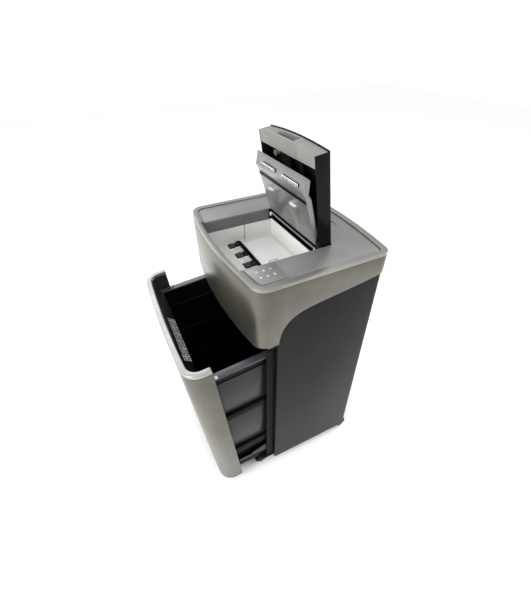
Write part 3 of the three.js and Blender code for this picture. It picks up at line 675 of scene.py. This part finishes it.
def addBayDetail():
    floor, slot = bay["floor"], bay["slot"]
    half = bay["tabHalf"]
    tabs = [roundedBlock("tab", (x - half, slot - 12.4, floor - 2), (x + half, slot - 4.5, floor + 2.2), 1)
            for x in bay["rollers"]]
    low, high = bay["stripX"]
    tabs += [roundedBlock("strip", (low, near, floor + 0.1), (high, far, floor + 1.6), 0.5)
             for near, far in bay["strips"]]
    finishPiece(joinPieces(tabs), "slotTabs", "cabinet", materials["blackPolishedAbs"])
    # three white teeth between each two rollers
    teeth = []
    half, margin = bay["toothHalf"], bay["toothMargin"]
    for left, right in zip(bay["rollers"], bay["rollers"][1:]):
        for part in range(3):
            x = left + margin + part * (right - left - 2 * margin) / 2
            teeth.append(roundedBlock("tooth", (x - half, slot - 24, floor + 0.1),
                                      (x + half, slot - 5, floor + 3), 1))
    finishPiece(joinPieces(teeth), "slotComb", "cabinet", materials["whiteAbs"])
    # the seam between the two halves of each side wall
    (near, far), (low, high) = bay["ribY"], bay["ribZ"]
    left, right = bay["left"], bay["right"]
    ribs = [roundedBlock("rib", (left + 0.1, near, low), (left + 1, far, high), 0.3),
            roundedBlock("rib", (right - 1, near, low), (right - 0.1, far, high), 0.3)]
    finishPiece(joinPieces(ribs), "bayRibs", "cabinet", materials["greyAbs"])
    # two white knuckles at the hinge ends: the left is a white hinge part, the right one is a painted glint
    # on the hinge pin's end
    (near, far), (low, high) = bay["knuckleY"], bay["knuckleZ"]
    knuckles = [roundedBlock("knuckle", (x, near, low), (x + 5, far, high), 2, 3) for x in bay["knuckleX"]]
    finishPiece(joinPieces(knuckles), "hingeKnucklesAndGlint", "lid", materials["whiteAbs"])
    print("bay ready")


plate = {
    "left": -124, "right": 152, "scoops": (-62, 72), "scoopTop": 96, "scoopBottom": 8, "scoopHalf": 26,
    "sealZ": (128, 137), "barY": (179, 182.5), "barZ": (912, 918), "teethCount": 12,
    "strips": [("plate_teeth_left", -87, -1), ("plate_teeth_right", 39, 125)],
}


def shapeScoop(piece, x, y, z, depthScale, rounding):
    # flattens a turned shape against the plate and rounds its edges
    piece.scale = (1, depthScale, 1)
    piece.location = placed(x, y, z)
    bpy.ops.object.transform_apply(location=True, rotation=True, scale=True)
    roundEdges(piece, rounding, 3, 50)
    return ontoPlate(piece)


def addPlateDetail():
    footY, footZ = pivots["plateFoot"]
    left, right = plate["left"], plate["right"]
    low, high = plate["sealZ"]
    seal = roundedBlock("seal", (left + 3, footY - 1.6, footZ + low),
                        (right - 3, footY - 0.2, footZ + high), 0.4)
    finishPiece(ontoPlate(seal), "plateSeal", "plate", materials["blackTexturedAbs"])
    (near, far), (low, high) = plate["barY"], plate["barZ"]
    hingeBar = roundedBlock("hingeBar", (left + 1, near, low), (right - 1, far, high), 1.2, 3)
    finishPiece(hingeBar, "plateHingeBar", "lid", materials["plateLacquer"])
    top, bottom, half = plate["scoopTop"], plate["scoopBottom"], plate["scoopHalf"]
    for index, x in enumerate(plate["scoops"]):
        # a scoop is wide at its lit top edge and runs down to a point
        deselectAll()
        bpy.ops.mesh.primitive_cone_add(vertices=24, radius1=half * mm, radius2=0.5 * mm,
                                        depth=(top - bottom) * mm)
        scoop = bpy.context.object
        scoop.rotation_euler = (halfTurn, 0, 0)
        scoop = shapeScoop(scoop, x, footY - 0.1, footZ + (top + bottom) / 2, 0.36, 1.2)
        finishPiece(scoop, f"plateScoop{index + 1}", "plate", materials["plateLacquer"])
        # a pale flattened disc along each scoop's top edge is a painted highlight where that edge catches the
        # light
        deselectAll()
        bpy.ops.mesh.primitive_cylinder_add(vertices=32, radius=(half - 8) * mm, depth=1.6 * mm)
        edge = shapeScoop(bpy.context.object, x, footY - 0.1, footZ + top + 1.4, 0.42, 0.8)
        finishPiece(edge, f"plateScoopHighlight{index + 1}", "plate", materials["paleAbs"])
    # toothed strips in the leaning lip: a black sheet as painted shade in the slot, a white bar and a row of
    # fine teeth
    lipY, lipZ = pivots["lipFoot"]
    count = plate["teethCount"]
    for node, left, right in plate["strips"]:
        # the black sheet behind the teeth is painted shade standing for the dark inside of the slot
        slot = roundedBlock("slot", (left, lipY - 2.9, lipZ + 7.5), (right, lipY - 0.8, lipZ + 16.8), 0.3)
        finishPiece(ontoLip(slot), node + "Slot", "plate", materials["blackTexturedAbs"])
        teeth = [roundedBlock("bar", (left + 0.6, lipY - 3.7, lipZ + 14.4),
                              (right - 0.6, lipY - 3, lipZ + 16.6), 0.25)]
        for step in range(count):
            x = left + 1 + (right - left - 4) * step / (count - 1)
            teeth.append(roundedBlock("tooth", (x, lipY - 3.6, lipZ + 8.4),
                                      (x + 2.6, lipY - 3, lipZ + 14.3), 0.2))
        finishPiece(ontoLip(joinPieces(teeth)), node + "Teeth", "plate", materials["whiteAbs"],
                    [node])
    print("plate ready")


hubCap = {
    "radius": 11, "thick": 2, "side": 14, "z": 20,
    "places": [("front_left", -228, -51), ("front_right", 228, -51),
               ("rear_left", -242, 336), ("rear_right", 242, 336)],
}


def addHubCaps():
    for name, x, y in hubCap["places"]:
        caps = []
        for side in (-1, 1):
            deselectAll()
            bpy.ops.mesh.primitive_cylinder_add(
                vertices=32, radius=hubCap["radius"] * mm, depth=hubCap["thick"] * mm,
                rotation=(0, halfTurn / 2, 0), location=placed(x + side * hubCap["side"], y, hubCap["z"]))
            cap = bpy.context.object
            roundEdges(cap, 0.7, 3)
            caps.append(settle(cap))
        finishPiece(joinPieces(caps), f"axleCaps_{name}", f"caster_{name}_swivel",
                    materials["blackPolishedAbs"])


screws = {"radius": 4, "tall": 1.6, "slotHalf": 2.6, "z": (90, 300, 520, 720), "x": (-205, 205),
          "face": 352.8}


def addBackScrews():
    face, half = screws["face"], screws["slotHalf"]
    heads = []
    for x in screws["x"]:
        for z in screws["z"]:
            deselectAll()
            bpy.ops.mesh.primitive_cylinder_add(
                vertices=24, radius=screws["radius"] * mm, depth=screws["tall"] * mm,
                rotation=(halfTurn / 2, 0, 0), location=placed(x, face + screws["tall"] / 2, z))
            screw = bpy.context.object
            slot = roundedBlock("slot", (x - half, face + 1, z - 0.5), (x + half, face + 3, z + 0.5), 0.1)
            cutAway(screw, slot)
            roundEdges(screw, 0.4, 2)
            heads.append(settle(screw))
    finishPiece(joinPieces(heads), "backScrews", "cabinet", materials["zincSteel"])
    print("small parts ready")


addHead()
addDrawerFront()
addBinDetail()
addPanelMarks()
addPadMarks()
addLedgeMarks()
addBayDetail()
addPlateDetail()
addHubCaps()
addBackScrews()


# eye, azimuth and elevation in degrees, roll, lens in mm on a 36 mm sensor, and the frame's small shift
camera = {"eye": (0.8312, -0.3690, 1.4223), "azimuth": 64.7, "elevation": 38.72, "roll": -1.083,
          "lens": 20.06, "shift": (0.0097, -0.0113)}


def addCamera():
    azimuth, elevation, roll = (math.radians(camera[key]) for key in ("azimuth", "elevation", "roll"))
    back = Vector((math.sin(azimuth) * math.cos(elevation), -math.cos(azimuth) * math.cos(elevation),
                   math.sin(elevation)))
    right = (-back).cross(Vector((0, 0, 1))).normalized()
    up = back.cross(right)
    rightTurned = math.cos(roll) * right + math.sin(roll) * up
    upTurned = -math.sin(roll) * right + math.cos(roll) * up
    data = bpy.data.cameras.new("camera")
    data.lens = camera["lens"]
    data.sensor_width = 36
    data.shift_x, data.shift_y = camera["shift"]
    data.clip_start = 0.01
    eye = bpy.data.objects.new("camera", data)
    bpy.context.scene.collection.objects.link(eye)
    axes = Matrix((rightTurned, upTurned, back)).transposed().to_4x4()
    eye.matrix_world = Matrix.Translation(camera["eye"]) @ axes
    bpy.context.scene.camera = eye


studio = {"floor": "#fbfbfa", "low": 0.3, "high": 1.25,
          "lamps": [((1.0, -2.6, 1.9), 1.2, 62), ((-2.4, -0.6, 2.4), 2.0, 22), ((0.8, 2.4, 3.0), 2.4, 46)]}


def addStudio():
    deselectAll()
    bpy.ops.mesh.primitive_plane_add(size=16, location=(0, 0, -0.0005))
    floor = bpy.context.object
    floor.name = "floor"
    paper = bpy.data.materials.new("seamlessPaper")
    paper.use_nodes = True
    shader = paper.node_tree.nodes["Principled BSDF"]
    shader.inputs["Base Color"].default_value = srgb(studio["floor"])
    shader.inputs["Roughness"].default_value = 0.9
    floor.data.materials.append(paper)
    world = bpy.data.worlds.new("studio")
    world.use_nodes = True
    # the room is bright overhead and dim at the horizon
    sky = world.node_tree
    place = addNode(sky, "ShaderNodeTexCoord")
    split = addNode(sky, "ShaderNodeSeparateXYZ", links={"Vector": place.outputs["Generated"]})
    span = {"From Min": -0.1, "From Max": 0.9, "To Min": studio["low"], "To Max": studio["high"]}
    height = addNode(sky, "ShaderNodeMapRange", inputs=span, links={"Value": split.outputs["Z"]})
    room = addNode(sky, "ShaderNodeBackground", inputs={"Color": srgb("#ffffff")},
                   links={"Strength": height.outputs["Result"]})
    # seen directly, it is a plain white backdrop
    backdrop = sky.nodes["Background"]
    backdrop.inputs["Color"].default_value = srgb("#ffffff")
    ray = addNode(sky, "ShaderNodeLightPath")
    both = addNode(sky, "ShaderNodeMixShader", links={
        0: ray.outputs["Is Camera Ray"], 1: room.outputs["Background"], 2: backdrop.outputs["Background"]})
    sky.links.new(both.outputs["Shader"], sky.nodes["World Output"].inputs["Surface"])
    bpy.context.scene.world = world
    bpy.context.scene.view_settings.view_transform = "Standard"
    for place, size, power in studio["lamps"]:
        data = bpy.data.lights.new("softbox", "AREA")
        data.energy = power
        data.size = size
        lamp = bpy.data.objects.new("softbox", data)
        bpy.context.scene.collection.objects.link(lamp)
        lamp.location = place
        lamp.rotation_euler = (Vector((0, 0, 0.6)) - Vector(place)).to_track_quat("-Z", "Y").to_euler()


addCamera()
addStudio()
print("studio ready")
